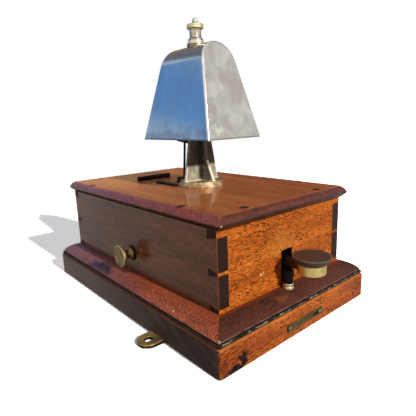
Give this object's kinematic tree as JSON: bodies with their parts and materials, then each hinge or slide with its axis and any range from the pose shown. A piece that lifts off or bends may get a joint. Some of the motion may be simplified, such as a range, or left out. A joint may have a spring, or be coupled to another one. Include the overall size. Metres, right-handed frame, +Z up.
{
  "type": "railway block bell",
  "caption": "Signalling bell: a four-sided gong on a finned pillar over a dovetailed wooden case, with an electric hammer inside it, a tapper key at one end and a case catch.",
  "frame": {"origin": "on the floor, under the middle of the base block", "axes": "+X along the case towards the tapper, +Y across to the side without the turn knob, +Z up"},
  "size_m": [0.3275, 0.2434, 0.2857],
  "materials": {
    "case_wood": "polished, worn",
    "moulding_wood": "dark polish, worn",
    "brass": "dull",
    "pillar_brass": "cast, tarnished",
    "bell_metal": "polished, tarnished",
    "steel": "bright",
    "black_iron": "black, worn",
    "soft_iron": "bare",
    "ebonite": "dull polish",
    "cushion_leather": "dark",
    "wire_silk": "wound, matt"
  },
  "bodies": {
    "case": {"side_panel_front": "case_wood", "side_panel_back": "case_wood", "end_panel_tapper": "case_wood", "end_panel_rear": "case_wood", "top_board": "case_wood", "base_block": "case_wood", "locating_battens": "case_wood", "base_board": "moulding_wood", "fixing_lugs": "brass", "label_plate": "brass", "label_screws": "brass", "finial_column": "brass", "finial_nut": "brass", "flange_screws": "brass", "hammer_bracket": "brass", "rest_stop_post": "brass", "spring_anchor": "brass", "tapper_bracket": "brass", "front_contact": "brass", "back_contact": "brass", "stop_post_collar": "brass", "terminals": "brass", "catch_keeper": "brass", "bell_pillar": "pillar_brass", "bell": "bell_metal", "lug_screws": "steel", "bell_stud": "steel", "seat_washer": "steel", "yoke_screws": "steel", "hammer_bracket_screws": "steel", "hammer_pivot": "steel", "rest_stop_screw": "steel", "hammer_spring": "steel", "tapper_bracket_screws": "steel", "tapper_pivot": "steel", "tapper_spring": "steel", "top_screws": "black_iron", "top_strips": "black_iron", "stop_post": "black_iron", "catch_collar": "black_iron", "magnet_yoke": "soft_iron", "magnet_cores": "soft_iron", "wire_bush": "ebonite", "coil_bobbins": "ebonite", "terminal_strip": "ebonite", "cushion_washer": "cushion_leather", "coil_windings": "wire_silk"},
    "hammer": {"hammer_lever": "brass", "armature": "soft_iron", "armature_screws": "steel", "hammer_boss": "black_iron", "hammer_rod": "black_iron", "hammer_head": "black_iron"},
    "tapper": {"tapper_lever": "brass", "tapper_knob": "ebonite", "knob_screw": "steel"},
    "catch": {"catch_knob": "brass", "catch_spindle": "steel", "catch_tongue": "steel"}
  },
  "joints": [
    {"name": "hammer_swing", "type": "hinge", "parent": "case", "child": "hammer", "pos_m": [-0.01757, 0, 0.0934], "axis": [0, -1, 0], "range_deg": [0, 6.2], "stiffness_Nm_per_rad": 0.15, "springref_deg": -14.32, "deforming": ["hammer_spring"]},
    {"name": "tapper_press", "type": "hinge", "parent": "case", "child": "tapper", "pos_m": [0.085, 0, 0.06125], "axis": [0, 1, 0], "range_deg": [0, 2.6], "stiffness_Nm_per_rad": 0.6, "springref_deg": -8.59, "deforming": ["tapper_spring"]},
    {"name": "catch_turn", "type": "hinge", "parent": "case", "child": "catch", "pos_m": [0.0022, -0.0831, 0.0583], "axis": [0, 1, 0], "range_deg": [0, 90]}
  ]
}
